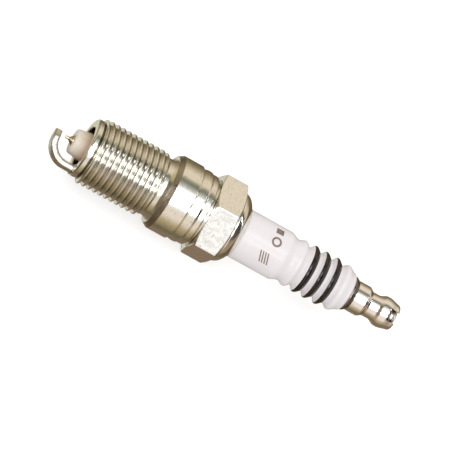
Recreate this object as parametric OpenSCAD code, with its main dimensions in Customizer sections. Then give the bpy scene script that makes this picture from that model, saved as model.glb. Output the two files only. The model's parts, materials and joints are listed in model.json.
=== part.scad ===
// Spark plug with a conical seat, an M14 thread, a 16 mm hexagon and a screwed terminal nut.
// Millimetres. X is the plug's axis, from the firing end (-X) to the terminal (+X), and Z is up.
// The plug lies on one flat of its hexagon. The origin is on the axis, at the seat's gauge plane.

/* [Mounting thread] */
// Major diameter of the mounting thread
thread_d = 13.86; // [13.7:0.02:13.94]
// Distance from one thread crest to the next
thread_pitch = 1.25; // [1.2:0.01:1.25]
// Number of full thread crests
thread_crests = 11; // [6:1:11]
// Distance from the seat's gauge plane to the front face of the shell
reach = 17.5; // [17.4:0.1:19]

/* [Seat, barrel and hexagon] */
// Included angle of the conical seat
seat_angle = 63; // [60:1:66]
// Distance across the flats of the hexagon
hex_flats = 15.8; // [15.7:0.05:16]
// Length of the hexagon along the axis
hex_l = 5.55; // [5:0.05:5.55]

/* [Insulator] */
// Diameter of the smooth part of the insulator head
head_d = 10.26; // [10.1:0.02:10.3]
// Distance from the seat to the insulator's rear end
head_end = 42.4; // [42:0.1:44]
// Diameter of the nose at its tip
nose_tip_d = 5.1; // [4.6:0.1:5.4]
// Distance that the nose stands out of the shell
nose_out = 2.5; // [2:0.1:3]
// Depth of the fired-on black bands in the glaze
band_t = 0.12; // [0.08:0.02:0.2]

/* [Terminal nut] */
// Largest diameter of the terminal nut
nut_d = 6.35; // [6.2:0.05:6.4]
// Diameter of the nut's neck, where the cap's spring snaps in
nut_neck_d = 5.1; // [4.8:0.1:5.6]
// Distance from the seat to the nut's rear end
nut_end = 53.05; // [52.9:0.05:53.4]
// Width of the slot across the nut's rear end
slot_w = 2.3; // [1.6:0.1:2.8]
// Major diameter of the terminal stud's thread
stud_d = 3.9; // [3.8:0.02:3.96]

/* [Firing end] */
// Spark gap, from the iridium tip to the ground electrode
gap = 1.1; // [0.6:0.1:1.1]
// Diameter of the iridium tip
tip_d = 0.6; // [0.4:0.1:0.8]
// Width of the ground electrode
strap_w = 2.7; // [2.2:0.1:2.8]
// Thickness of the ground electrode
strap_t = 1.35; // [1.1:0.05:1.4]

/* [Hidden] */
$fn = 96;

// Radial play between pieces that fill a bore, and between the stud's thread and the nut
fill_play = 0.02;
nut_play = 0.05;

// Turns about X, in degrees, of the ground electrode and of the nut's slot
strap_turn = 301;
slot_turn = 223;

// Shell, outside
front_x = -reach;
collar_r = 6.17;
thread_r = thread_d / 2;
thread_h = 0.6134 * thread_pitch;
root_r = thread_r - thread_h;
crest_half = thread_pitch / 16;
flank = thread_h * tan(30);
first_crest_x = front_x + 2.2;
shank_r = 6.13;
neck_r = 6.75;
neck_undercut = 0.25;
// The barrel is as wide as the hexagon, so the plug lies level on both
barrel_r = hex_flats / 2;
seat_front_x = 0;
seat_back_x = 1.05;
seat_front_r = barrel_r - (seat_back_x - seat_front_x) * tan(seat_angle / 2);
wall_r = 6.55;
hex_x = 9.35;
hex_back_x = hex_x + hex_l;
hex_corner_r = hex_flats / 2 / cos(30);
hex_face_r = hex_flats / 2 - 0.1;

// Shell, inside
front_bore_r = 4.33;
ledge_r = 3.9;
ledge_x = -5.5;
seat_slope = 0.8333;
middle_bore_r = 4.9;
rear_bore_r = 5.9;
lip_r = head_d / 2 + 0.04;
rim_end_x = 17.65;

// Insulator
head_r = head_d / 2;
nose_tip_x = front_x - nose_out;
nose_r = nose_tip_d / 2;
nose_root_r = 3.6;
shank_ins_r = 4.6;
flange_r = 5.85;
electrode_bore_r = 1.03;
stud_bore_r = 1.9;
bore_step_x = -4.6;
packing_t = 0.35;
head_end_r = 3.65;

// Alternate crests and valleys of the ribbed part of the insulator head, as [x, radius]
rib_stations = [
    [26.9, head_r], [28.9, 4.48], [30.3, 4.95], [31.5, 4.15], [32.6, 5.04], [34.1, 4.18],
    [35.0, 5.04], [36.6, 4.12], [37.5, 5.04], [39.0, 4.18], [40.1, 4.84], [42.0, 4.0]
];
rib_steps = 6;

// Front and rear ends of the three black bands
bands = [[32.25, 33.65], [34.7, 36.15], [37.2, 38.6]];
band_steps = 6;

// Terminal
stud_r = stud_d / 2;
stud_shank_r = 1.75;
stud_start_x = 11.5;
stud_flange_r = 3.6;
nut_r = nut_d / 2;
nut_x = head_end + 1.02;
stud_end_x = nut_end - 0.1;
stud_pitch = 0.7;
stud_thread_h = 0.3;
stud_crests = 11;
knurl_pitch = 0.8;
slot_x = nut_end - 1.9;

// Firing end
tip_r = tip_d / 2;
tip_back_x = nose_tip_x - 0.7;
tip_front_x = nose_tip_x - 1.5;
strap_inner_x = tip_front_x - gap;
strap_outer_x = strap_inner_x - strap_t;
strap_r = 5.8;
strap_bend_r = 3.15;
strap_end_r = -0.5;
strap_taper_r = 0.9;
strap_tip_w = 0.55 * strap_w;
bend_center_r = strap_r - strap_t - strap_bend_r;
bend_center_x = strap_inner_x + strap_bend_r;

// Sealing parts in the rear of the shell
wire_r = 0.36;
wire_ring_r = (head_r + rear_bore_r) / 2;
lower_wire_x = 11.72;
upper_wire_x = 16.0;

// A value that runs from a to b as t runs from 0 to 1
function mix(a, b, t) = a + (b - a) * t;

// The same, level at both ends
function ease(a, b, t) = mix(a, b, (1 - cos(180 * t)) / 2);

// Points that run smoothly through [x, radius] stations, level at each of them
function smooth_run(stations, steps) = [
    for (i = [0:len(stations) - 2])
        for (k = [0:steps - 1])
            [
                mix(stations[i][0], stations[i + 1][0], k / steps),
                ease(stations[i][1], stations[i + 1][1], k / steps)
            ]
];

// The radius of that run at x
function run_radius(stations, x) =
    let (i = max([for (k = [0:len(stations) - 2]) if (x >= stations[k][0]) k]))
    ease(
        stations[i][1], stations[i + 1][1],
        (x - stations[i][0]) / (stations[i + 1][0] - stations[i][0])
    );

// Points of a quarter round that starts at a0 degrees, for an outline's corner
function quarter(cx, cr, radius, a0, a1, steps = 4) = [
    for (k = [0:steps])
        let (a = mix(a0, a1, k / steps))
        [cx + radius * cos(a), cr + radius * sin(a)]
];

function backwards(list) = [for (i = [len(list) - 1:-1:0]) list[i]];

// Points of equal thread crests that stand on the root radius
function crests(x, count, pitch, r_root, r_crest, half_top, side) = [
    for (k = [0:count - 1])
        for (p = [
            [-half_top - side, r_root], [-half_top, r_crest], [half_top, r_crest], [half_top + side, r_root]
        ])
            [x + k * pitch + p[0], p[1]]
];

// A body turned about X from [x, radius] points
module turned(points) {
    rotate([0, 90, 0])
        rotate_extrude()
            polygon([for (p = points) [p[1], p[0]]]);
}

// Children drawn with X radial, Y across and Z along the plug are turned about the axis and laid down
module at_turn(angle) {
    rotate([0, 90, 0])
        rotate([0, 0, angle])
            children();
}

module tube(x0, x1, r_in, r_out) {
    turned([[x0, r_in], [x0, r_out], [x1, r_out], [x1, r_in]]);
}

// The hexagon's outer part, with both rims chamfered
module hexagon() {
    corner = hex_corner_r + 0.1;
    inside = wall_r - 0.5;
    intersection() {
        translate([hex_x - 1, 0, 0])
            rotate([0, 90, 0])
                rotate([0, 0, 30])
                    cylinder(r = hex_corner_r, h = hex_l + 2, $fn = 6);
        turned([
            [hex_x, inside], [hex_x, hex_face_r], [hex_x + 0.55, corner],
            [hex_back_x - 0.75, corner], [hex_back_x, hex_face_r], [hex_back_x, inside]
        ]);
    }
}

module metal_shell() {
    outside = concat(
        [
            [front_x, collar_r - 0.15], [front_x + 0.15, collar_r], [front_x + 1.2, collar_r],
            [front_x + 1.3, collar_r - 0.23], [front_x + 1.6, collar_r - 0.23]
        ],
        crests(first_crest_x, thread_crests, thread_pitch, root_r, thread_r, crest_half, flank),
        [
            [-1.9, shank_r], [-0.7, shank_r], [seat_front_x + neck_undercut, neck_r],
            [seat_front_x, seat_front_r], [seat_back_x, barrel_r], [5.2, barrel_r],
            [5.42, 7.6], [5.5, 7.46]
        ],
        smooth_run([[5.65, 7.53], [6.55, 7.69], [7.15, 7.67], [7.75, 7.42]], 4),
        [[7.75, 7.42], [8.65, 7.43]],
        quarter(8.65, 7.13, 0.3, 80, 10),
        [
            [9.0, wall_r], [hex_back_x, wall_r], [hex_back_x, 7.1], [hex_back_x + 0.1, 7.1],
            [15.15, 7.36], [15.3, 7.43], [15.85, 7.28], [16.25, 7.02], [16.65, 6.63], [17.0, 6.2],
            [17.3, 5.75], [17.55, 5.3]
        ]
    );
    inside = [
        [rim_end_x, lip_r], [17.0, lip_r], [16.42, rear_bore_r], [6.0, rear_bore_r],
        [5.0, middle_bore_r], [ledge_x + (middle_bore_r - ledge_r) / seat_slope, middle_bore_r],
        [ledge_x, ledge_r], [-7.5, ledge_r], [-7.9, front_bore_r], [front_x, front_bore_r]
    ];
    color("silver")
        union() {
            turned(concat(outside, inside));
            hexagon();
        }
}

// The insulator's cone is parallel to the shell's, with the packing between them
function packing_x(r) = ledge_x + (r - ledge_r) / seat_slope;

module insulator() {
    nose_round = 0.35;
    outside = concat(
        quarter(nose_tip_x + nose_round, nose_r - nose_round, nose_round, 180, 90),
        [
            [front_x, 2.9], [-8, nose_root_r], [packing_x(nose_root_r) + packing_t, nose_root_r],
            [packing_x(shank_ins_r) + packing_t, shank_ins_r], [5.3, shank_ins_r],
            [6.2, flange_r], [10.5, flange_r], [11.4, head_r]
        ],
        smooth_run(rib_stations, rib_steps),
        [
            rib_stations[len(rib_stations) - 1], [head_end - 0.1, head_end_r + 0.08],
            [head_end, head_end_r]
        ]
    );
    bore = [
        [head_end, stud_bore_r], [bore_step_x, stud_bore_r],
        [bore_step_x, electrode_bore_r], [nose_tip_x, electrode_bore_r]
    ];
    color("white")
        difference() {
            turned(concat(outside, bore));
            for (b = bands)
                band_ring(b, 1);
        }
}

// A ring of the rib's own outline, band_t deep. above is how far it stands over the rib.
module band_ring(ends, above) {
    xs = [for (k = [0:band_steps]) mix(ends[0], ends[1], k / band_steps)];
    top = [for (x = xs) [x, run_radius(rib_stations, x) + above]];
    bottom = [for (x = xs) [x, run_radius(rib_stations, x) - band_t]];
    turned(concat(top, backwards(bottom)));
}

module black_band(i) {
    color("#2a2220")
        band_ring(bands[i], 0);
}

module terminal_nut() {
    bore_r = stud_r + nut_play;
    neck_r = nut_neck_d / 2;
    outside = concat(
        [[nut_x, nut_r - 0.15], [nut_x + 0.15, nut_r]],
        smooth_run([[45.8, nut_r], [47.1, neck_r]], 5),
        [[47.1, neck_r]],
        smooth_run([[48.3, neck_r], [50.0, nut_r]], 5),
        [[50.0, nut_r], [50.75, nut_r], [51.5, 2.97], [52.1, 2.78]],
        quarter(nut_end - 0.5, 2.2, 0.5, 70, 0)
    );
    color("#cdbfae")
        difference() {
            turned(concat(outside, [[nut_end, bore_r], [nut_x, bore_r]]));
            at_turn(slot_turn)
                translate([-5, -slot_w / 2, slot_x])
                    cube([10, slot_w, 3]);
        }
}

module terminal_stud() {
    knurls = crests(stud_start_x + 0.8, 6, knurl_pitch, stud_shank_r - 0.2, stud_shank_r, 0.2, 0.12);
    thread = crests(
        nut_x + 1.2, stud_crests, stud_pitch, stud_r - stud_thread_h, stud_r, 0.09, 0.17
    );
    color("#b8b0a2")
        turned(concat(
            [[stud_start_x, 0], [stud_start_x, stud_shank_r - 0.3], [stud_start_x + 0.3, stud_shank_r - 0.2]],
            knurls,
            [
                [18.5, stud_shank_r], [head_end, stud_shank_r], [head_end, stud_flange_r],
                [head_end + 0.35, stud_flange_r], [head_end + 1, nut_r - 0.1],
                [head_end + 1, stud_r], [nut_x + 0.6, stud_r], [nut_x + 0.75, stud_r - stud_thread_h]
            ],
            thread,
            [[stud_end_x - 0.5, stud_r], [stud_end_x, stud_r - 0.35], [stud_end_x, 0]]
        ));
}

// A piece that fills the insulator's stud bore
module bore_plug(x0, x1) {
    turned([[x0, 0], [x0, stud_bore_r - fill_play], [x1, stud_bore_r - fill_play], [x1, 0]]);
}

module upper_glass_seal() {
    color("#6f6a60")
        bore_plug(8.5, stud_start_x);
}

module resistor() {
    color("#3b3733")
        bore_plug(0.5, 8.5);
}

module lower_glass_seal() {
    color("#6f6a60")
        bore_plug(-3.0, 0.5);
}

module center_electrode() {
    body_r = electrode_bore_r - fill_play - 0.01;
    core_r = 0.62;
    color("#9c968c")
        turned([
            [tip_back_x, 0], [tip_back_x, tip_r + 0.12], [nose_tip_x - 0.05, body_r - 0.05],
            [nose_tip_x, body_r], [bore_step_x, body_r], [bore_step_x, 1.8], [-3.0, 1.8],
            [-3.0, core_r], [-18.6, core_r], [-18.6, 0]
        ]);
}

module copper_core() {
    color("#b87345")
        turned([[-18.6, 0], [-18.6, 0.6], [-3.0, 0.6], [-3.0, 0]]);
}

module iridium_tip() {
    color("#c9c9cc")
        turned([
            [tip_front_x, 0], [tip_front_x, tip_r - 0.03], [tip_front_x + 0.03, tip_r],
            [tip_back_x, tip_r], [tip_back_x, 0]
        ]);
}

// The bead that the laser leaves round the foot of the tip
module tip_weld() {
    color("#8f8a84")
        turned([
            [tip_back_x - 0.14, tip_r + fill_play], [tip_back_x - 0.1, tip_r + 0.07],
            [tip_back_x - 0.04, tip_r + 0.11], [tip_back_x, tip_r + 0.12], [tip_back_x, tip_r + fill_play]
        ]);
}

// Outline of the ground electrode's flat end, from above: full width, then tapered to the tip
module strap_end_outline() {
    polygon([
        [bend_center_r, -strap_w / 2], [strap_taper_r, -strap_w / 2], [strap_end_r, -strap_tip_w / 2],
        [strap_end_r, strap_tip_w / 2], [strap_taper_r, strap_w / 2], [bend_center_r, strap_w / 2]
    ]);
}

module ground_electrode() {
    color("#b9b08f")
        at_turn(strap_turn) {
            translate([strap_r - strap_t, -strap_w / 2, bend_center_x])
                cube([strap_t, strap_w, front_x - bend_center_x]);
            translate([bend_center_r, 0, bend_center_x])
                rotate([90, 0, 0])
                    rotate([0, 0, -90])
                        rotate_extrude(angle = 90)
                            translate([strap_bend_r, -strap_w / 2])
                                square([strap_t, strap_w]);
            translate([0, 0, strap_outer_x])
                linear_extrude(height = strap_t)
                    strap_end_outline();
        }
}

// The bead of weld metal on the shell's face, round three sides of the ground electrode's foot
module ground_weld() {
    bead_h = 0.3;
    bead_w = 0.2;
    foot = strap_r - strap_t;
    color("#a79f8c")
        at_turn(strap_turn)
            difference() {
                intersection() {
                    translate([foot, -strap_w / 2 - bead_w, front_x - bead_h])
                        cube([strap_t + bead_w, strap_w + 2 * bead_w, bead_h]);
                    translate([0, 0, front_x - bead_h])
                        cylinder(r = collar_r - 0.17, h = bead_h);
                }
                translate([foot - 1, -strap_w / 2, front_x - 1])
                    cube([strap_t + 1, strap_w, 2]);
            }
}

// The thin washer that seals the insulator's cone against the shell's
module plate_packing() {
    color("#a9a7a2")
        turned([
            [packing_x(4.0), 4.0], [packing_x(4.0) + packing_t, 4.0],
            [packing_x(shank_ins_r) + packing_t, shank_ins_r], [packing_x(shank_ins_r), shank_ins_r]
        ]);
}

module talc_ring() {
    color("#d9d6cc")
        tube(12.1, 15.6, head_r + fill_play, rear_bore_r - fill_play);
}

module wire_ring(x) {
    color("#8d8a86")
        translate([x, 0, 0])
            rotate([0, 90, 0])
                rotate_extrude()
                    translate([wire_ring_r, 0])
                        circle(r = wire_r, $fn = 32);
}

metal_shell();
insulator();
black_band(0);  // black_band_1
black_band(1);  // black_band_2
black_band(2);  // black_band_3
terminal_nut();
terminal_stud();
upper_glass_seal();
resistor();
lower_glass_seal();
center_electrode();
copper_core();
iridium_tip();
tip_weld();
ground_electrode();
ground_weld();
plate_packing();
talc_ring();
wire_ring(lower_wire_x);  // lower_wire_ring
wire_ring(upper_wire_x);  // upper_wire_ring
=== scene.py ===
"""A spark plug lying on one flat of its hexagon: fine meshes, procedural materials, studio and camera.

Sizes are in millimetres: x along the plug's axis from the conical seat, r away from the axis, and
turns are angles round the axis, in radians, from +Y towards +Z. MM takes them to metres.
"""

import json
import math

import bmesh
import bpy
from mathutils import Matrix, Vector, noise


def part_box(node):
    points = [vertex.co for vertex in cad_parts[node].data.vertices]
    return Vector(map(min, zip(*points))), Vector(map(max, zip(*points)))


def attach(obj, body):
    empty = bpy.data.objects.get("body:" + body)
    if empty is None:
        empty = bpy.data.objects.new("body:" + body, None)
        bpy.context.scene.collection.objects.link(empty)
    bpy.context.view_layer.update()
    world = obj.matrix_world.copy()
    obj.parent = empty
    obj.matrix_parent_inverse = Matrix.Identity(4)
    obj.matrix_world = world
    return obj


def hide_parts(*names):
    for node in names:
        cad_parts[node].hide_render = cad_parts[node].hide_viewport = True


MM = 0.001
TAU = 2 * math.pi

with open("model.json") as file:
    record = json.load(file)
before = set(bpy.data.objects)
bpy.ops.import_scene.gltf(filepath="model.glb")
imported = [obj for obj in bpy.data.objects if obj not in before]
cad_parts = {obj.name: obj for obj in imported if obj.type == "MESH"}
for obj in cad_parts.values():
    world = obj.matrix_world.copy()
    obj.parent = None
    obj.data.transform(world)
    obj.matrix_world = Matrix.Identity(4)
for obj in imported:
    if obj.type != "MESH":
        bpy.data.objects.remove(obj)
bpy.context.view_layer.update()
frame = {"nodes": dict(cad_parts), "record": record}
mounts = {m["name"]: m for m in frame["record"]["mounts"]}


def reach_of(node):
    """Where a CAD node starts and ends along the axis, in millimetres."""
    low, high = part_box(node)
    return low.x / MM, high.x / MM


# ---------------------------------------------------------------- places that come from the frame
SHELL_FRONT, SHELL_END = reach_of("metal_shell")
NOSE_TIP, HEAD_END = reach_of("insulator")
NUT_FRONT, NUT_END = reach_of("terminal_nut")
STUD_START, STUD_END = reach_of("terminal_stud")
IRIDIUM_FRONT, IRIDIUM_FOOT = reach_of("iridium_tip")
STRAP_FRONT, STRAP_FOOT = reach_of("ground_electrode")
BANDS = [reach_of(f"black_band_{i}") for i in (1, 2, 3)]
FLOOR_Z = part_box("metal_shell")[0].z
HEX_APOTHEM = -FLOOR_Z / MM
THREAD_R = mounts["thread"]["dims"]["r_mm"]
NUT_R = mounts["terminal"]["dims"]["r_mm"]

# ---------------------------------------------------------------- the design's other sizes
THREAD_PITCH = 1.25
THREAD_DEPTH = 0.75
COLLAR_R = 6.17
SHANK_R = 6.13
BARREL_R = HEX_APOTHEM
WALL_R = 6.55
HEX_FRONT = 9.35
HEX_BACK = 14.9
FRONT_BORE_R = 4.33
HEAD_R = 5.13
STUD_R = 1.95
STUD_PITCH = 0.7
TIP_R = 0.3
STRAP_W = 2.7
STRAP_T = 1.35
STRAP_OUTER_R = 5.8
STRAP_MIDDLE_R = STRAP_OUTER_R - STRAP_T / 2
STRAP_BEND_R = 3.825
STRAP_END_R = -0.5
STRAP_CORNER = 0.44
STRAP_TURN = math.radians(211)
SLOT_TURN = math.radians(133)
# The side of the plug that faces the camera
FACING_TURN = math.radians(136)
SLOT_W = 2.3
SLOT_DEPTH = 1.9


# ---------------------------------------------------------------- outlines
def rounded(points, steps=4):
    """(x, r) points, where a point with a third number has its corner rounded off over that length."""
    out = []
    last = len(points) - 1
    for i, point in enumerate(points):
        here = Vector(point[:2])
        size = point[2] if len(point) > 2 else 0
        if not size or i in (0, last):
            out.append(tuple(here))
            continue
        before = Vector(points[i - 1][:2]) - here
        after = Vector(points[i + 1][:2]) - here
        a = here + before.normalized() * min(size, before.length * 0.48)
        b = here + after.normalized() * min(size, after.length * 0.48)
        for k in range(steps + 1):
            t = k / steps
            out.append(tuple(a * (1 - t) ** 2 + here * (2 * t * (1 - t)) + b * t * t))
    return out


def smooth_run(stations, steps=10):
    """Points that run through (x, r) stations and are level at each of them."""
    out = []
    for (x0, r0), (x1, r1) in zip(stations, stations[1:]):
        for k in range(steps):
            t = k / steps
            ease = (1 - math.cos(math.pi * t)) / 2
            out.append((x0 + (x1 - x0) * t, r0 + (r1 - r0) * ease))
    return out + [stations[-1]]


def run_radius(stations, x):
    """The radius at x on the curve of smooth_run."""
    for (x0, r0), (x1, r1) in zip(stations, stations[1:]):
        if x0 <= x <= x1:
            return r0 + (r1 - r0) * (1 - math.cos(math.pi * (x - x0) / (x1 - x0))) / 2
    return stations[-1][1]


# ---------------------------------------------------------------- meshes
def even_turns(count):
    return [TAU * i / count for i in range(count)]


def hexagon_turns(per_side=26):
    """Turns for a hexagon with corners at 0, 60, 120... degrees, closer together at the corners."""
    near = [math.radians(a) for a in (0, 0.3, 0.6, 0.95)]
    side = math.radians(60)
    first, last = math.radians(2.4), math.radians(57.6)
    middle = [first + (last - first) * k / per_side for k in range(per_side + 1)]
    one = near + middle + [side - a for a in reversed(near[1:])]
    return [k * side + a for k in range(6) for a in one]


def place(x, r, turn):
    return Vector((x, r * math.cos(turn), r * math.sin(turn))) * MM


def ring(bm, turns, x, r):
    """One ring of vertices. x and r are numbers, or functions of the turn."""
    return [
        bm.verts.new(place(x(t) if callable(x) else x, r(t) if callable(r) else r, t)) for t in turns
    ]


def new_face(bm, verts, material):
    kept = []
    for v in verts:
        if v not in kept:
            kept.append(v)
    if len(kept) > 2 and bm.faces.get(kept) is None:
        bm.faces.new(kept).material_index = material


def bridge(bm, a, b, material=0):
    for i in range(len(a)):
        k = (i + 1) % len(a)
        new_face(bm, (a[i], a[k], b[k], b[i]), material)


def rings_along(bm, turns, points, first=None, material=0):
    """Rings through (x, r) points, joined up. It starts from the ring first, if there is one."""
    last = first
    for x, r in points:
        new = ring(bm, turns, x, r)
        if last:
            bridge(bm, last, new, material)
        last = new
    return last


def cap(bm, edge, x):
    """Closes a ring with a fan to a point on the axis."""
    middle = bm.verts.new((x * MM, 0, 0))
    for i in range(len(edge)):
        new_face(bm, (edge[i], edge[(i + 1) % len(edge)], middle), 0)


def helix_strip(bm, turns, start, end, reach, pitch, section, root, fade, phase=0.0):
    """A right-hand thread between two rings.

    section is one pitch of the thread as (distance, height) points, root gives the radius at the
    thread's foot from x, fade is the length over which the thread rises at each end, and phase moves
    the thread along the axis.
    """
    start_x, end_x = reach
    per_turn = len(section)
    windings = math.ceil((end_x - start_x) / pitch) + 3
    columns = []
    for i, turn in enumerate(turns):
        column = []
        for j in range(windings * per_turn + 1):
            along, height = section[j % per_turn]
            x = start_x + phase + pitch * (j // per_turn - 2 + turn / TAU) + along
            if x <= start_x + 1e-6:
                column.append(start[i])
            elif x >= end_x - 1e-6:
                column.append(end[i])
            else:
                rise = min(1, (x - start_x) / fade[0]) * min(1, (end_x - x) / fade[1])
                rise = rise * rise * (3 - 2 * rise)
                column.append(bm.verts.new(place(x, root(x) + height * rise, turn)))
        columns.append(column)
    count = len(columns)
    for i in range(count):
        shift = per_turn if i == count - 1 else 0
        here, beside = columns[i], columns[(i + 1) % count]
        for j in range(len(here) - 1 - shift):
            new_face(bm, (here[j], beside[j + shift], beside[j + 1 + shift], here[j + 1]), 0)


def finish_mesh(bm, name, materials, sharp=32):
    bmesh.ops.recalc_face_normals(bm, faces=bm.faces)
    mesh = bpy.data.meshes.new(name)
    bm.to_mesh(mesh)
    bm.free()
    mesh.shade_smooth()
    mesh.set_sharp_from_angle(angle=math.radians(sharp))
    obj = bpy.data.objects.new(name, mesh)
    bpy.context.scene.collection.objects.link(obj)
    for material in materials:
        mesh.materials.append(material)
    return obj


def lathe(name, points, materials, count=128, closed=False, sharp=32):
    """A turned piece. closed joins the last ring to the first, and otherwise both ends are capped."""
    turns = even_turns(count)
    bm = bmesh.new()
    first = ring(bm, turns, *points[0])
    last = rings_along(bm, turns, points[1:], first)
    if closed:
        bridge(bm, last, first)
    else:
        cap(bm, first, points[0][0])
        cap(bm, last, points[-1][0])
    return finish_mesh(bm, name, materials, sharp)


# ---------------------------------------------------------------- material helpers
class Nodes:
    """Adds nodes to one material and joins them up."""

    def __init__(self, name):
        self.material = bpy.data.materials.new(name)
        self.material.use_nodes = True
        self.tree = self.material.node_tree
        self.shader = self.tree.nodes["Principled BSDF"]

    def add(self, kind, inputs=None, **settings):
        node = self.tree.nodes.new(kind)
        for key, value in settings.items():
            setattr(node, key, value)
        for key, value in (inputs or {}).items():
            self.set(node.inputs[key], value)
        return node

    def set(self, socket, value):
        if isinstance(value, bpy.types.NodeSocket):
            self.tree.links.new(value, socket)
        else:
            socket.default_value = value

    def shade(self, **inputs):
        for key, value in inputs.items():
            self.set(self.shader.inputs[key.replace("_", " ")], value)
        return self.material

    def position(self):
        return self.add("ShaderNodeTexCoord").outputs["Object"]

    def scaled(self, scale):
        mapping = self.add("ShaderNodeMapping", {"Vector": self.position(), "Scale": scale})
        return mapping.outputs["Vector"]

    def noise(self, scale, detail=3.0, roughness=0.55, stretch=(1, 1, 1)):
        return self.add(
            "ShaderNodeTexNoise",
            {"Vector": self.scaled(stretch), "Scale": scale, "Detail": detail, "Roughness": roughness},
        ).outputs["Fac"]

    def ramp(self, factor, stops):
        """A colour ramp. stops are (place, colour) pairs, or (place, grey) pairs."""
        node = self.add("ShaderNodeValToRGB", {"Fac": factor})
        elements = node.color_ramp.elements
        while len(elements) < len(stops):
            elements.new(0.5)
        for element, (at, value) in zip(elements, stops):
            element.position = at
            colour = value if isinstance(value, tuple) else (value, value, value)
            element.color = (*colour, 1)
        return node.outputs["Color"]

    def mix(self, factor, a, b):
        node = self.add("ShaderNodeMix", data_type="RGBA")
        for key, value in ((0, factor), (6, a), (7, b)):
            if isinstance(value, tuple):
                value = (*value, 1)
            self.set(node.inputs[key], value)
        return node.outputs[2]

    def math(self, operation, *values):
        node = self.add("ShaderNodeMath", operation=operation)
        for socket, value in zip(node.inputs, values):
            self.set(socket, value)
        return node.outputs[0]

    def bump(self, height, strength, distance, normal=None):
        node = self.add("ShaderNodeBump", {"Height": height, "Strength": strength, "Distance": distance})
        if normal:
            self.set(node.inputs["Normal"], normal)
        return node.outputs["Normal"]


def turned_lines(n, scale):
    """Fine rings round the axis, as a lathe tool leaves them: noise that changes only with x."""
    return n.noise(scale, detail=2.0, roughness=0.6, stretch=(1, 0.004, 0.004))


def plating(name, light, dark, roughness, lines=0.25, blotch=300, cloud=0.5, thread=False):
    """Bright turned metal: faint tool marks, cloudy tint and small changes in gloss.

    lines is how strong the tool marks are, blotch how fine the clouds are, and cloud how soft. thread adds
    painted shade in the roots of the mounting thread.
    """
    n = Nodes(name)
    cloudy = n.noise(blotch, detail=4.0)
    colour = n.ramp(cloudy, [(0.5 - cloud / 2, dark), (0.5 + cloud / 2, light)])
    specks = n.ramp(n.noise(2300, detail=3.0, stretch=(1, 0.7, 0.7)), [(0.56, 0.0), (0.72, 0.35)])
    colour = n.mix(specks, colour, tuple(c * 0.45 for c in dark))
    if thread:
        # painted shade: the thread's roots are darkened in the colour
        colour = n.mix(painted_thread_root_shade(n), colour, (0.13, 0.11, 0.08))
    gloss = n.ramp(n.noise(900, detail=3.0), [(0.3, roughness * 0.75), (0.7, roughness * 1.3)])
    marks = n.bump(turned_lines(n, 5200), lines, 0.00002)
    grain = n.bump(n.noise(2600, detail=3.0), 0.12, 0.00002, marks)
    return n.shade(Base_Color=colour, Metallic=1.0, Roughness=gloss, Normal=grain)


def painted_thread_root_shade(n):
    """1 in the roots of the mounting thread, where shade is painted into the colour, and 0 elsewhere."""
    centimetre = 100.0
    across = n.add("ShaderNodeVectorMath", operation="MULTIPLY")
    n.set(across.inputs[0], n.position())
    across.inputs[1].default_value = (0, centimetre, centimetre)
    length = n.add("ShaderNodeVectorMath", operation="LENGTH")
    n.set(length.inputs[0], across.outputs[0])
    low = n.ramp(length.outputs["Value"], [(0.616, 1.0), (0.627, 0.0)])
    apart = n.add("ShaderNodeSeparateXYZ", {"Vector": n.position()})
    x = n.math("MULTIPLY_ADD", apart.outputs["X"], centimetre / 4, 0.5)
    inside = n.ramp(x, [(0.0935, 0.0), (0.0945, 1.0), (0.435, 1.0), (0.455, 0.0)])
    return n.math("MULTIPLY", low, inside)


def glaze(name, light, dark, roughness, specular):
    """A smooth, slightly wavy glaze."""
    n = Nodes(name)
    colour = n.ramp(n.noise(160, detail=3.0), [(0.3, dark), (0.7, light)])
    gloss = n.ramp(n.noise(500), [(0.3, roughness * 0.8), (0.7, roughness * 1.3)])
    waves = n.bump(n.noise(420, detail=1.0), 0.18, 0.00004)
    return n.shade(Base_Color=colour, Roughness=gloss, Normal=waves, Specular_IOR_Level=specular)


def bare_ceramic(name, light, dark):
    """Unglazed ceramic, browner towards the shell: painted shade where the nose goes into the shell's bore.
    """
    n = Nodes(name)
    colour = n.ramp(n.noise(700, detail=5.0), [(0.3, dark), (0.7, light)])
    apart = n.add("ShaderNodeSeparateXYZ", {"Vector": n.position()})
    from_tip = n.math("MULTIPLY_ADD", apart.outputs["X"], 1 / (3 * MM), -NOSE_TIP / 3)
    # painted shade: the colour turns brown over the part of the nose nearest the shell
    shell_shade = n.ramp(from_tip, [(0.25, 0.0), (0.95, 1.0)])
    colour = n.mix(shell_shade, colour, (0.56, 0.40, 0.27))
    grain = n.bump(n.noise(5200, detail=4.0), 0.25, 0.00003)
    return n.shade(Base_Color=colour, Roughness=0.42, Normal=grain)


def dull(name, light, dark, roughness, metallic=0.0, scale=1500):
    """A cast, pressed or powdery surface."""
    n = Nodes(name)
    colour = n.ramp(n.noise(scale, detail=5.0), [(0.3, dark), (0.7, light)])
    grain = n.bump(n.noise(scale * 2, detail=4.0), 0.35, 0.00004)
    return n.shade(Base_Color=colour, Metallic=metallic, Roughness=roughness, Normal=grain)


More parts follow.
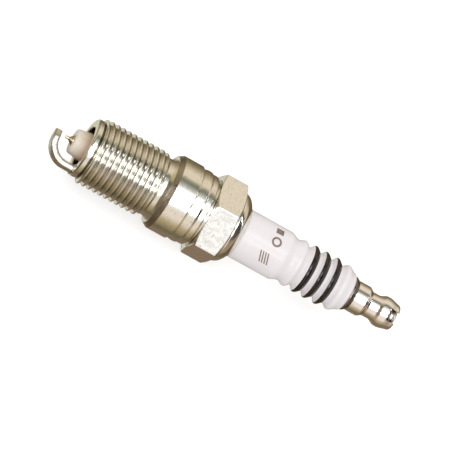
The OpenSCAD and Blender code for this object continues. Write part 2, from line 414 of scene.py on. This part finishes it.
SHELL = plating("shell_plating", (0.86, 0.845, 0.80), (0.78, 0.76, 0.70), 0.13, thread=True)
HEX_FACE = plating(
    "hexagon_plating", (0.92, 0.905, 0.89), (0.82, 0.80, 0.785), 0.17, lines=0.1, blotch=2200, cloud=0.4
)
# The seat cone's plating is painted dark and brown: a painted dark reflection.
SHADED_SEAT = plating("seat_painted_shade", (0.42, 0.37, 0.31), (0.33, 0.28, 0.23), 0.32)
TERMINAL = plating("terminal_plating", (0.93, 0.90, 0.92), (0.87, 0.84, 0.85), 0.09)
STUD = plating("stud_steel", (0.76, 0.73, 0.68), (0.62, 0.59, 0.54), 0.24)
# The stud's flange is painted dark: painted shade in the gap between the insulator's end and the nut.
SHADED_FLANGE = plating("flange_painted_shade", (0.30, 0.27, 0.24), (0.2, 0.18, 0.16), 0.3)
ELECTRODE = plating(
    "electrode_nickel", (0.74, 0.72, 0.67), (0.54, 0.51, 0.46), 0.26, lines=0.05, blotch=700, cloud=0.4
)
CENTER = plating("center_nickel", (0.62, 0.55, 0.38), (0.46, 0.40, 0.27), 0.25)
IRIDIUM = plating("iridium", (0.72, 0.60, 0.42), (0.62, 0.5, 0.34), 0.25)
WELD = dull("weld_metal", (0.55, 0.5, 0.42), (0.22, 0.2, 0.17), 0.35, metallic=1.0, scale=2600)
GLAZE = glaze("insulator_glaze", (0.80, 0.765, 0.785), (0.77, 0.735, 0.745), 0.2, specular=0.25)
NOSE = bare_ceramic("nose_ceramic", (0.72, 0.655, 0.56), (0.68, 0.61, 0.51))
BAND = glaze("band_glaze", (0.018, 0.010, 0.008), (0.012, 0.007, 0.006), 0.08, specular=0.5)
INK = dull("print_ink", (0.27, 0.20, 0.17), (0.17, 0.125, 0.105), 0.45, scale=1800)
GLASS_SEAL = dull("seal_glass", (0.16, 0.15, 0.13), (0.08, 0.07, 0.06), 0.3)
RESISTOR = dull("resistor_fill", (0.05, 0.045, 0.04), (0.02, 0.018, 0.016), 0.7)
COPPER = plating("copper", (0.76, 0.42, 0.27), (0.62, 0.32, 0.2), 0.3)
RING_STEEL = plating("ring_steel", (0.45, 0.43, 0.4), (0.33, 0.31, 0.29), 0.35)
TALC = dull("talc", (0.8, 0.77, 0.7), (0.68, 0.65, 0.58), 0.85)


# ---------------------------------------------------------------- the shell
THREAD_START = SHELL_FRONT + 1.45
THREAD_FOOT_R = COLLAR_R - 0.25
THREAD_STOP = -1.35
THREAD_ROOT = THREAD_R - THREAD_DEPTH
HALF_THREAD = [
    (0.0, 0.0), (0.05, 0.01), (0.09, 0.05), (0.15, 0.15), (0.32, 0.47), (0.40, 0.60), (0.48, 0.685),
    (0.56, 0.728)
]
THREAD_PHASE = -0.57
HEX_CORNER_ROUND = 0.25
HEX_CHAMFER_R = HEX_APOTHEM - 0.1
HEX_CHAMFER_SLOPE = 0.42
PLAIN, FLATS, CONE = 0, 1, 2


def mirrored_section(half, pitch):
    """One pitch of thread from half of it, given from the root's middle to near the crest's middle."""
    crest = (pitch / 2, half[-1][1] + 0.012)
    return half + [crest] + [(pitch - along, height) for along, height in reversed(half[1:])]


def hexagon_r(turn):
    """Distance from the axis to the hexagon's side, with its corners rounded."""
    corner_angle = math.radians(30)
    from_face = (turn + corner_angle) % (2 * corner_angle) - corner_angle
    from_face = corner_angle - abs(from_face)
    from_corner = corner_angle - from_face
    centre = (HEX_APOTHEM - HEX_CORNER_ROUND) / math.cos(corner_angle)
    tangent = math.atan2(
        HEX_CORNER_ROUND * math.sin(corner_angle), centre + HEX_CORNER_ROUND * math.cos(corner_angle)
    )
    if from_corner > tangent:
        return HEX_APOTHEM / math.cos(from_face)
    inside = HEX_CORNER_ROUND**2 - (centre * math.sin(from_corner)) ** 2
    return centre * math.cos(from_corner) + math.sqrt(inside)


def hexagon_rings(bm, turns, last):
    """The hexagon, from the ring at its front face to the ring at its back face."""
    edge = 0.09

    def chamfer_x(turn, end, way):
        return end + way * (hexagon_r(turn) - HEX_CHAMFER_R) * HEX_CHAMFER_SLOPE

    def step(x, r, material):
        nonlocal last
        new = ring(bm, turns, x, r)
        bridge(bm, last, new, material)
        last = new

    for end, way in ((HEX_FRONT, 1), (HEX_BACK, -1)):
        line = [
            (lambda t, e=end, w=way: chamfer_x(t, e, w) - w * edge * 0.45,
             lambda t: hexagon_r(t) - edge * 0.85),
            (lambda t, e=end, w=way: chamfer_x(t, e, w) + w * edge * 0.15,
             lambda t: hexagon_r(t) - edge * 0.22),
            (lambda t, e=end, w=way: chamfer_x(t, e, w) + w * edge,
             hexagon_r),
        ]
        if way > 0:
            step(HEX_FRONT, HEX_CHAMFER_R - 0.12, PLAIN)
            for x, r in line:
                step(x, r, PLAIN)
            front_line = line[2][0]
        else:
            back_line = line[2][0]
            rows = 22
            for k in range(1, rows):
                t = k / rows
                step(
                    lambda a, t=t: front_line(a) * (1 - t) + back_line(a) * t,
                    lambda a, t=t: hexagon_r(a) - stamp_depth(a, t),
                    FLATS,
                )
            step(*line[2], FLATS)
            for x, r in reversed(line[:2]):
                step(x, r, PLAIN)
            step(HEX_BACK, HEX_CHAMFER_R - 0.12, PLAIN)
    return last


def stamp_depth(turn, t):
    """Shallow hammer-like unevenness of the flats, none at their edges."""
    corner_angle = math.radians(60)
    across = (turn % corner_angle) / corner_angle
    inside = min(1, 8 * min(across, 1 - across)) * min(1, 6 * min(t, 1 - t))
    rough = noise.noise(Vector((math.cos(turn) * 14, math.sin(turn) * 14, t * 9)))
    return max(0, rough) * 0.02 * inside


def build_shell():
    turns = hexagon_turns()
    bm = bmesh.new()
    front = rounded([
        (SHELL_FRONT + 0.2, FRONT_BORE_R), (SHELL_FRONT, FRONT_BORE_R + 0.2, 0.1),
        (SHELL_FRONT, COLLAR_R - 0.35, 0.2), (SHELL_FRONT + 0.38, COLLAR_R, 0.22),
        (SHELL_FRONT + 1.15, COLLAR_R, 0.1), (SHELL_FRONT + 1.3, THREAD_FOOT_R, 0.06),
        (THREAD_START, THREAD_FOOT_R),
    ])
    first = ring(bm, turns, *front[0])
    start = rings_along(bm, turns, front[1:], first)
    stop = ring(bm, turns, THREAD_STOP, SHANK_R)

    def root(x):
        up = min(1, max(0, (x - THREAD_START) / 0.15))
        down = min(1, max(0, (x - THREAD_STOP + 1.2) / 1.2))
        return THREAD_FOOT_R + (THREAD_ROOT - THREAD_FOOT_R) * up - (THREAD_ROOT - SHANK_R) * down

    helix_strip(
        bm, turns, start, stop, (THREAD_START, THREAD_STOP), THREAD_PITCH,
        mirrored_section(HALF_THREAD, THREAD_PITCH), root, (0.4, 1.1), THREAD_PHASE,
    )
    neck = rounded([
        (THREAD_STOP, SHANK_R), (-0.75, SHANK_R, 0.3), (0.24, 6.75, 0.06), (0.02, 7.18)
    ])
    last = rings_along(bm, turns, neck[1:], stop)
    cone = rounded([(0.02, 7.18), (0.0, 7.26, 0.05), (1.02, 7.87, 0.03), (1.06, BARREL_R)])
    last = rings_along(bm, turns, cone[1:], last, CONE)
    barrel = rounded([
        (1.06, BARREL_R), (5.18, BARREL_R, 0.12), (5.4, 7.62, 0.06), (5.5, 7.46, 0.05), (5.62, 7.54, 0.05),
        (5.7, 7.55)
    ])
    last = rings_along(bm, turns, barrel[1:], last)
    bulge = smooth_run([(5.7, 7.55), (6.55, 7.69), (7.15, 7.67), (7.77, 7.42)], 6)
    last = rings_along(bm, turns, bulge[1:], last)
    back = rounded([
        (7.77, 7.42), (7.95, 7.44, 0.15), (8.4, 7.45, 0.2), (8.93, 7.36, 0.3), (9.0, WALL_R, 0.1),
        (HEX_FRONT, WALL_R)
    ])
    last = rings_along(bm, turns, back[1:], last)
    last = hexagon_rings(bm, turns, last)
    rim = rounded([
        (HEX_BACK, 7.05), (HEX_BACK + 0.08, 7.05, 0.03), (15.06, 7.38, 0.05), (15.2, 7.43, 0.08),
        (15.5, 7.35, 0.1), (16.15, 7.06, 0.3), (16.6, 6.68, 0.3), (17.05, 6.1, 0.4), (17.42, 5.5, 0.3),
        (SHELL_END, 5.24, 0.12), (SHELL_END - 0.05, HEAD_R + 0.04)
    ])
    last = rings_along(bm, turns, rim, last)
    inside = [
        (17.0, HEAD_R + 0.04), (16.42, 5.9), (6.0, 5.9), (5.0, 4.9), (-4.3, 4.9), (-5.5, 3.9),
        (-7.5, 3.9), (-7.9, FRONT_BORE_R)
    ]
    last = rings_along(bm, turns, inside, last)
    bridge(bm, last, first)
    shell = finish_mesh(bm, "shell", [SHELL, HEX_FACE, SHADED_SEAT])
    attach(shell, "plug_body")
    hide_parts("metal_shell")


# ---------------------------------------------------------------- the insulator, its bands and its print
RIBS = [
    (26.9, HEAD_R), (28.9, 4.48), (30.3, 4.95), (31.5, 4.15), (32.6, 5.04), (34.1, 4.18),
    (35.0, 5.04), (36.6, 4.12), (37.5, 5.04), (39.0, 4.18), (40.1, 4.84), (42.0, 4.0)
]
NOSE_ROOT_X = -8.0


def build_insulator():
    turns = even_turns(128)
    bm = bmesh.new()
    nose = rounded([
        (-5.51, 3.6), (NOSE_ROOT_X, 3.6), (SHELL_FRONT, 2.9), (NOSE_TIP, 2.55, 0.4), (NOSE_TIP, 1.15, 0.1),
        (NOSE_TIP + 0.25, 1.03)
    ], 6)
    tail = [(-4.6, 1.03), (-4.6, 1.9), (HEAD_END - 0.2, 1.9)]
    head = rounded([(-5.51, 3.6), (-4.31, 4.6), (5.3, 4.6), (6.2, 5.85), (10.5, 5.85), (11.4, HEAD_R)])
    first = ring(bm, turns, *nose[0])
    last = rings_along(bm, turns, nose[1:], first, 1)
    last = rings_along(bm, turns, tail, last, 1)
    end = rounded([
        (HEAD_END - 0.2, 1.9), (HEAD_END, 2.1, 0.1), (HEAD_END, 3.62, 0.12), (HEAD_END - 0.15, 3.76, 0.1),
        (42.0, 4.0)
    ])
    last = rings_along(bm, turns, end[1:], last)
    last = rings_along(bm, turns, smooth_run(RIBS, 14)[-2::-1], last)
    last = rings_along(bm, turns, head[:0:-1], last)
    bridge(bm, last, first)
    insulator = finish_mesh(bm, "insulator_body", [GLAZE, NOSE])
    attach(insulator, "plug_body")
    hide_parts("insulator")


def build_bands():
    for i, (x0, x1) in enumerate(BANDS, 1):
        steps = 12
        xs = [x0 + (x1 - x0) * k / steps for k in range(steps + 1)]
        top = []
        for k, x in enumerate(xs):
            edge = min(k, steps - k) / 2
            top.append((x, run_radius(RIBS, x) + 0.018 * min(1, edge) ** 0.5))
        under = [(x, run_radius(RIBS, x) - 0.06) for x in reversed(xs)]
        band = lathe(f"glazed_band_{i}", top + under, [BAND], closed=True, sharp=60)
        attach(band, "plug_body")
        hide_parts(f"black_band_{i}")


INK_HEIGHT = 0.012


def ink_patch(bm, outline):
    """A printed shape on the insulator's cylinder, from (x, distance round) points of one convex outline."""
    top = [place(x, HEAD_R + INK_HEIGHT, around / HEAD_R) for x, around in outline]
    low = [place(x, HEAD_R - INK_HEIGHT, around / HEAD_R) for x, around in outline]
    upper = [bm.verts.new(p) for p in top]
    lower = [bm.verts.new(p) for p in low]
    bm.faces.new(upper)
    bm.faces.new(lower[::-1])
    for i in range(len(outline)):
        k = (i + 1) % len(outline)
        bm.faces.new((lower[i], lower[k], upper[k], upper[i]))


def build_print():
    """Generic marks: an open ring, a filled square and a row of bars. No lettering."""
    bm = bmesh.new()

    def bar(x, around, length, width, lean=0.0):
        """A bar along x, cut into short pieces round the cylinder. lean turns it on the surface."""
        count = max(1, math.ceil(width / 0.35))
        for k in range(count):
            a0 = around - width / 2 + width * k / count
            a1 = a0 + width / count
            corners = ((-length / 2, a0), (length / 2, a0), (length / 2, a1), (-length / 2, a1))
            ink_patch(bm, [(x + dx + lean * (a - around), a) for dx, a in corners])

    def open_ring(x, around, size, thick):
        count = 28
        for k in range(count):
            points = []
            for a, r in ((k, size), (k + 1, size), (k + 1, size - thick), (k, size - thick)):
                angle = TAU * a / count
                points.append((x + r * math.cos(angle), around + r * math.sin(angle)))
            ink_patch(bm, points)

    facing = FACING_TURN * HEAD_R
    middle = 24.2
    open_ring(middle, facing - 2.0, 1.05, 0.42)
    bar(middle, facing - 4.6, 1.6, 1.5)
    for k in range(4):
        bar(22.6 + 0.55 * k, facing + 2.0, 0.26, 2.4, lean=0.35)
    printed = finish_mesh(bm, "printed_marks", [INK])
    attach(printed, "plug_body")


# ---------------------------------------------------------------- terminal
M4_DEPTH = 0.3
NUT_PLAY = 0.05
NUT_SHARP = 35
HALF_M4 = [(0.0, 0.0), (0.05, 0.0), (0.1, 0.03), (0.26, 0.25), (0.31, 0.29)]


def build_nut():
    bore_r = STUD_R + NUT_PLAY
    turns = even_turns(112)
    bm = bmesh.new()
    outside = rounded([
        (NUT_FRONT, bore_r + 0.25), (NUT_FRONT, NUT_R - 0.12, 0.05), (NUT_FRONT + 0.12, NUT_R, 0.08),
        (45.8, NUT_R)
    ])
    first = ring(bm, turns, *outside[0])
    last = rings_along(bm, turns, outside[1:], first)
    last = rings_along(bm, turns, smooth_run([(45.8, NUT_R), (47.1, 2.55)], 10)[1:], last)
    last = rings_along(bm, turns, smooth_run([(48.3, 2.55), (50.0, NUT_R)], 10), last)
    end = rounded([
        (50.0, NUT_R), (50.75, NUT_R, 0.3), (51.5, 2.99, 0.2), (52.1, 2.8, 0.25), (NUT_END - 0.25, 2.66, 0.2),
        (NUT_END, 2.4, 0.12), (NUT_END, bore_r + 0.2, 0.05), (NUT_END - 0.2, bore_r)
    ])
    last = rings_along(bm, turns, end[1:], last)
    front_of_bore = ring(bm, turns, NUT_FRONT + 0.25, bore_r)
    groove = [(along, M4_DEPTH - height) for along, height in mirrored_section(HALF_M4, STUD_PITCH)]
    helix_strip(
        bm, turns, front_of_bore, last, (NUT_FRONT + 0.25, NUT_END - 0.2), STUD_PITCH,
        groove, lambda x: bore_r, (0.2, 0.2),
    )
    bridge(bm, front_of_bore, first)
    nut = finish_mesh(bm, "slotted_nut", [TERMINAL], sharp=NUT_SHARP)
    cut_slot(nut)
    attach(nut, "removable_nut")
    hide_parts("terminal_nut")


def cut_slot(nut):
    """Cuts the driver slot across the nut's rear end."""
    bm = bmesh.new()
    bmesh.ops.create_cube(bm, size=1)
    right_across = 10
    scale = Matrix.Diagonal((SLOT_DEPTH * 2 * MM, right_across * MM, SLOT_W * MM, 1))
    turn = Matrix.Rotation(SLOT_TURN, 4, "X")
    bm.transform(Matrix.Translation((NUT_END * MM, 0, 0)) @ turn @ scale)
    cutter = finish_mesh(bm, "slot_cutter", [])
    boolean = nut.modifiers.new("slot", "BOOLEAN")
    boolean.operation = "DIFFERENCE"
    boolean.solver = "EXACT"
    boolean.object = cutter
    cut = bpy.data.meshes.new_from_object(nut.evaluated_get(bpy.context.evaluated_depsgraph_get()))
    nut.modifiers.remove(boolean)
    whole = nut.data
    nut.data = cut
    cut.shade_smooth()
    cut.set_sharp_from_angle(angle=math.radians(NUT_SHARP))
    bpy.data.meshes.remove(whole)
    bpy.data.objects.remove(cutter)


def build_stud():
    turns = even_turns(96)
    bm = bmesh.new()
    flange = rounded([
        (STUD_START, 1.5), (STUD_START + 0.3, 1.75), (HEAD_END, 1.75), (HEAD_END, 3.5, 0.1),
        (HEAD_END + 0.12, 3.6, 0.08), (HEAD_END + 0.4, 3.56, 0.15), (HEAD_END + 1, 3.12, 0.05),
        (HEAD_END + 1, STUD_R - M4_DEPTH)
    ])
    first = ring(bm, turns, *flange[0])
    cap(bm, first, STUD_START)
    last = rings_along(bm, turns, flange[1:], first, 1)
    stop = ring(bm, turns, STUD_END - 0.25, STUD_R - M4_DEPTH)
    helix_strip(
        bm, turns, last, stop, (HEAD_END + 1, STUD_END - 0.25), STUD_PITCH,
        mirrored_section(HALF_M4, STUD_PITCH), lambda x: STUD_R - M4_DEPTH, (0.5, 0.15),
    )
    end = rounded([(STUD_END - 0.25, STUD_R - M4_DEPTH), (STUD_END - 0.05, 1.6, 0.08), (STUD_END, 1.45)])
    last = rings_along(bm, turns, end[1:], stop)
    cap(bm, last, STUD_END)
    stud = finish_mesh(bm, "threaded_stud", [STUD, SHADED_FLANGE])
    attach(stud, "plug_body")
    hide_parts("terminal_stud")


# ---------------------------------------------------------------- firing end
def build_center_electrode():
    points = rounded([
        (IRIDIUM_FOOT, TIP_R + 0.1), (NOSE_TIP - 0.1, 0.93, 0.12), (NOSE_TIP + 0.2, 0.99), (-4.62, 0.99),
        (-4.6, 1.8), (-3.0, 1.8)
    ])
    electrode = lathe("center_electrode_cone", points, [CENTER], 72)
    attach(electrode, "plug_body")
    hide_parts("center_electrode")

    tip_points = rounded([
        (IRIDIUM_FRONT, 0.02), (IRIDIUM_FRONT, TIP_R, 0.05), (IRIDIUM_FOOT, TIP_R)
    ])
    tip = lathe("iridium_pin", tip_points, [IRIDIUM], 48)
    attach(tip, "plug_body")
    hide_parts("iridium_tip")


def build_tip_weld():
    """The laser's ring of overlapping spots, as a bead with small waves."""
    turns = even_turns(96)
    bm = bmesh.new()
    spots = 14

    def wave(turn):
        return 0.5 + 0.5 * math.cos(turn * spots)

    section = [
        (-0.14, 0.02, 0.0), (-0.12, 0.05, 0.03), (-0.07, 0.09, 0.03), (-0.02, 0.11, 0.02), (0.0, 0.1, 0.0)
    ]
    first = ring(bm, turns, IRIDIUM_FOOT - 0.14, TIP_R - 0.02)
    last = first
    for x, height, swing in section:
        new = ring(bm, turns, IRIDIUM_FOOT + x, lambda t, h=height, s=swing: TIP_R + h + s * wave(t) - s)
        bridge(bm, last, new)
        last = new
    inner = ring(bm, turns, IRIDIUM_FOOT, TIP_R - 0.02)
    bridge(bm, last, inner)
    bridge(bm, inner, first)
    weld = finish_mesh(bm, "laser_weld", [WELD], sharp=60)
    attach(weld, "plug_body")
    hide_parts("tip_weld")


def strap_section(width, thick, corner, steps=5):
    """A rounded rectangle, as (across, outward) points."""
    out = []
    for sx, sy, start in ((1, 1, 0), (-1, 1, 90), (-1, -1, 180), (1, -1, 270)):
        for k in range(steps + 1):
            angle = math.radians(start + 90 * k / steps)
            out.append((
                sx * (width / 2 - corner) + corner * math.cos(angle),
                sy * (thick / 2 - corner) + corner * math.sin(angle),
            ))
    return out


def strap_path():
    """(x, distance from the axis, angle of the path) stations of the strap's middle line."""
    bend_r = STRAP_MIDDLE_R - STRAP_BEND_R
    bend_x = STRAP_FRONT + STRAP_T / 2 + STRAP_BEND_R
    out = []
    for k in range(4):
        out.append((STRAP_FOOT + (bend_x - STRAP_FOOT) * k / 4, STRAP_MIDDLE_R, 0.0))
    arc_steps = 28
    for k in range(arc_steps + 1):
        angle = math.radians(90) * k / arc_steps
        out.append((bend_x - STRAP_BEND_R * math.sin(angle), bend_r + STRAP_BEND_R * math.cos(angle), angle))
    straight = bend_r - STRAP_END_R
    for k in range(1, 9):
        out.append((bend_x - STRAP_BEND_R, bend_r - straight * k / 8, math.radians(90)))
    return out


def strap_axes():
    """Directions at the strap: away from the axis, along the axis, and across the strap."""
    radial = Vector((0, math.cos(STRAP_TURN), math.sin(STRAP_TURN)))
    along = Vector((1, 0, 0))
    return radial, along, along.cross(radial)


def build_strap():
    bm = bmesh.new()
    radial, along, across = strap_axes()
    path = strap_path()
    # the strap narrows to this share of its width over the last taper_from
    tip_share = 0.58
    taper_from = 1.4
    rings = []

    def add(x, r, angle, width, thick, push=0.0):
        outward = radial * math.cos(angle) - along * math.sin(angle)
        forward = -along * math.cos(angle) - radial * math.sin(angle)
        centre = along * x + radial * r + forward * push
        corner = min(STRAP_CORNER, thick * 0.4)
        rings.append([
            bm.verts.new((centre + across * a + outward * b) * MM)
            for a, b in strap_section(width, thick, corner)
        ])

    for x, r, angle in path:
        left = r - STRAP_END_R if angle > 1.5 else taper_from
        width = STRAP_W * (tip_share + (1 - tip_share) * max(0, min(1, left / taper_from)))
        bulge = 0.05 * math.sin(2 * angle)
        add(x, r, angle, width + bulge, STRAP_T if left > 0.12 else STRAP_T * 0.985)
    x, r, angle = path[-1]
    add(x, r, angle, STRAP_W * 0.54, STRAP_T * 0.9, -0.04)
    add(x, r, angle, STRAP_W * 0.44, STRAP_T * 0.7, 0.0)
    for a, b in zip(rings, rings[1:]):
        bridge(bm, a, b)
    bm.faces.new(rings[0])
    bm.faces.new(rings[-1])
    strap = finish_mesh(bm, "ground_strap", [ELECTRODE], sharp=40)
    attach(strap, "plug_body")
    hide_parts("ground_electrode")


def build_strap_weld():
    """An uneven bead of weld metal round the strap's foot."""
    bm = bmesh.new()
    radial, along, across = strap_axes()
    weld_corner = 0.3
    levels = [(0.02, 0.2), (0.12, 0.19), (0.22, 0.12), (0.3, 0.05), (0.34, -0.03)]
    rings = []
    for height, out in levels:
        verts = []
        for a, b in strap_section(STRAP_W + 2 * out, STRAP_T + 2 * out, weld_corner):
            lump = noise.noise(Vector((a * 2.1, b * 2.1, height * 3))) * 0.07
            point = along * (SHELL_FRONT - height - lump) + radial * (STRAP_MIDDLE_R + b)
            point += across * a * (1 + lump * 0.5)
            away = math.hypot(point.y, point.z)
            limit = COLLAR_R - 0.06
            if away > limit:
                point.y *= limit / away
                point.z *= limit / away
            point.x = min(point.x, SHELL_FRONT + 0.02)
            verts.append(bm.verts.new(point * MM))
        rings.append(verts)
    for a, b in zip(rings, rings[1:]):
        bridge(bm, a, b)
    bm.faces.new(rings[0])
    bm.faces.new(rings[-1])
    weld = finish_mesh(bm, "strap_weld", [WELD], sharp=60)
    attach(weld, "plug_body")
    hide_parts("ground_weld")


def dress_inner_parts():
    """The CAD nodes inside the plug keep their shape and get their materials."""
    looks = {
        "upper_glass_seal": GLASS_SEAL, "lower_glass_seal": GLASS_SEAL, "resistor": RESISTOR,
        "copper_core": COPPER, "plate_packing": RING_STEEL, "lower_wire_ring": RING_STEEL,
        "upper_wire_ring": RING_STEEL, "talc_ring": TALC,
    }
    for node, material in looks.items():
        obj = frame["nodes"][node]
        obj.data.materials.clear()
        obj.data.materials.append(material)


# ---------------------------------------------------------------- studio
# The camera looks along -VIEW, with the plug's axis tilted by TILT in the picture.
VIEW = Vector((-0.21, -0.703, 0.680)).normalized()
# The soft light comes from a little above the camera
LIT_FROM = Vector((-0.21, -0.547, 0.811)).normalized()
TILT = math.radians(29)
AIM_X = 14.56
AIM_ACROSS = 0.05
FRAME_WIDTH = 87.38
LENS = 1000.0
SENSOR = 36.0


def add_camera():
    axis = (Vector((1, 0, 0)) - VIEW * VIEW.x).normalized()
    across = axis.cross(VIEW)
    right = axis * math.cos(TILT) - across * math.sin(TILT)
    up = -axis * math.sin(TILT) - across * math.cos(TILT)
    data = bpy.data.cameras.new("camera")
    data.lens = LENS
    data.sensor_width = SENSOR
    data.clip_end = 20
    camera = bpy.data.objects.new("camera", data)
    distance = FRAME_WIDTH * LENS / SENSOR
    aim = Vector((AIM_X, 0, 0)) + across * AIM_ACROSS
    basis = Matrix((right, up, VIEW)).transposed().to_4x4()
    camera.matrix_world = Matrix.Translation((aim + VIEW * distance) * MM) @ basis
    bpy.context.scene.collection.objects.link(camera)
    bpy.context.scene.camera = camera


def add_floor():
    bm = bmesh.new()
    size = 3.0
    corners = [(-size, -size), (size, -size), (size, size), (-size, size)]
    bm.faces.new([bm.verts.new((x, y, FLOOR_Z - 0.02 * MM)) for x, y in corners])
    n = Nodes("floor")
    colour = n.ramp(n.noise(6, detail=2.0), [(0.3, (0.40, 0.40, 0.40)), (0.7, (0.42, 0.42, 0.42))])
    n.shade(Base_Color=colour, Roughness=0.9, Emission_Color=(1, 1, 1, 1), Emission_Strength=0.72)
    floor = finish_mesh(bm, "floor", [n.material])
    floor.visible_glossy = False
    floor.visible_diffuse = False


# Colours that polished surfaces see. The lists below place them round the axis, as (degrees from +Y
# towards +Z, colour) stops.
DARK_EDGE = (0.15, 0.11, 0.06)
BEIGE = (0.84, 0.74, 0.57)
GREEN_DARK = (0.19, 0.20, 0.155)
WHITE = (1.7, 1.7, 1.7)
CREAM = (0.92, 0.82, 0.70)
TAN = (0.52, 0.42, 0.25)
OLIVE_DARK = (0.17, 0.145, 0.08)
BROWN = (0.25, 0.185, 0.125)
LAMP = (5.0, 5.0, 5.0)
NEAR_BLACK = (0.03, 0.035, 0.03)
DEEP_BROWN = (0.10, 0.08, 0.05)
WARM = (0.72, 0.60, 0.47)
RUSSET = (0.40, 0.30, 0.21)
GLINT = (4.0, 4.0, 4.0)
# Seen by surfaces that face straight away from the axis
BESIDE = [
    (-90, BROWN), (-60, BROWN), (-30, DARK_EDGE), (-5, (0.20, 0.16, 0.09)), (12, (0.34, 0.27, 0.165)),
    (28, (0.60, 0.51, 0.37)), (42, BEIGE), (63, BEIGE), (74, (0.30, 0.29, 0.22)), (82, GREEN_DARK),
    (91, (0.46, 0.46, 0.41)), (99, (0.78, 0.78, 0.74)), (109, WHITE), (113, LAMP), (126, LAMP),
    (129, WHITE), (140, WHITE), (143, LAMP), (154, LAMP), (158, (1.2, 1.2, 1.2)), (163, (0.92, 0.92, 0.9)),
    (172, CREAM), (192, CREAM), (214, TAN), (248, OLIVE_DARK), (266, BROWN)
]
# Seen by surfaces that lean towards the firing end
AHEAD = [
    (-90, DEEP_BROWN), (0, (0.30, 0.25, 0.14)), (40, (0.60, 0.52, 0.30)), (74, (0.50, 0.42, 0.22)),
    (92, (0.14, 0.12, 0.08)), (136, (0.30, 0.24, 0.15)), (200, (0.20, 0.16, 0.10)), (266, DEEP_BROWN)
]
# Seen by surfaces that lean towards the terminal
BEHIND = [
    (-90, DARK_EDGE), (10, DARK_EDGE), (30, WARM), (62, WARM), (68, NEAR_BLACK), (82, NEAR_BLACK),
    (84, GLINT), (88, GLINT), (90, NEAR_BLACK), (112, (0.06, 0.055, 0.05)), (174, (0.12, 0.095, 0.08)),
    (190, RUSSET), (236, RUSSET), (258, DARK_EDGE)
]
# The pale backdrop behind the plug, as shares of white
BACKDROP_WHITE = (0.68, 0.67, 0.55)
BACKDROP = [(-72, (0.0,) * 3), (-62, (1.0,) * 3), (-24, (1.0,) * 3), (-14, (0.0,) * 3)]


def add_world():
    """Plain white to the camera and a soft gradient for diffuse light. Polished surfaces see soft boxes
    round the axis."""
    world = bpy.data.worlds.new("studio")
    bpy.context.scene.world = world
    world.use_nodes = True
    tree = world.node_tree
    nodes, links = tree.nodes, tree.links
    background = nodes["Background"]
    direction = nodes.new("ShaderNodeTexCoord").outputs["Generated"]
    split = nodes.new("ShaderNodeSeparateXYZ")
    links.new(direction, split.inputs[0])

    def value(operation, a, b=0.0, c=0.0):
        node = nodes.new("ShaderNodeMath")
        node.operation = operation
        for socket, v in zip(node.inputs, (a, b, c)):
            if isinstance(v, bpy.types.NodeSocket):
                links.new(v, socket)
            else:
                socket.default_value = v
        return node.outputs[0]

    def ramp(factor, stops):
        node = nodes.new("ShaderNodeValToRGB")
        links.new(factor, node.inputs[0])
        elements = node.color_ramp.elements
        while len(elements) < len(stops):
            elements.new(0.5)
        for element, (at, colour) in zip(elements, stops):
            element.position = at
            element.color = (*colour, 1)
        return node.outputs[0]

    def mix(factor, a, b):
        node = nodes.new("ShaderNodeMix")
        node.data_type = "RGBA"
        for socket, v in ((node.inputs[0], factor), (node.inputs[6], a), (node.inputs[7], b)):
            if isinstance(v, bpy.types.NodeSocket):
                links.new(v, socket)
            else:
                socket.default_value = (*v, 1) if isinstance(v, tuple) else v
        return node.outputs[2]

    # angle round the axis, from +Y towards +Z, as a share of the full turn that starts at -90 degrees
    angle = value("ARCTAN2", split.outputs[2], split.outputs[1])
    share = value("FRACT", value("MULTIPLY_ADD", angle, 1 / TAU, 0.25))
    lengthwise = value("MULTIPLY_ADD", split.outputs[0], 0.5, 0.5)

    def around(stops):
        return ramp(share, [((degrees + 90) / 360, colour) for degrees, colour in stops])

    def along(start, full):
        """0 up to the axis component start and 1 from full on, or the other way round."""
        stops = [((start + 1) / 2, (0.0,) * 3), ((full + 1) / 2, (1.0,) * 3)]
        if start > full:
            stops = stops[::-1]
        return ramp(lengthwise, stops)

    seen = mix(along(0.1, -0.1), around(BESIDE), mix(around(BACKDROP), around(BESIDE), BACKDROP_WHITE))
    seen = mix(along(-0.50, -0.66), seen, around(AHEAD))
    seen = mix(along(-0.86, -0.92), seen, around(BESIDE))
    seen = mix(along(0.50, 0.64), seen, around(BEHIND))
    light_path = nodes.new("ShaderNodeLightPath")
    lean = nodes.new("ShaderNodeVectorMath")
    lean.operation = "DOT_PRODUCT"
    links.new(direction, lean.inputs[0])
    lean.inputs[1].default_value = LIT_FROM
    soft = ramp(value("MULTIPLY_ADD", lean.outputs["Value"], 0.5, 0.5), [
        (0.0, (0.60, 0.58, 0.55)), (0.5, (0.80, 0.78, 0.76)), (1.0, (1.38, 1.37, 1.36))
    ])
    lit = mix(light_path.outputs["Is Glossy Ray"], soft, seen)
    whole = mix(light_path.outputs["Is Camera Ray"], lit, (1.0, 1.0, 1.0))
    links.new(whole, background.inputs[0])
    background.inputs[1].default_value = 1.0


add_camera()
add_floor()
add_world()
build_shell()
build_insulator()
build_bands()
build_print()
build_nut()
build_stud()
build_center_electrode()
build_tip_weld()
build_strap()
build_strap_weld()
dress_inner_parts()

bpy.context.scene.view_settings.view_transform = "Standard"
bpy.context.scene.view_settings.look = "None"
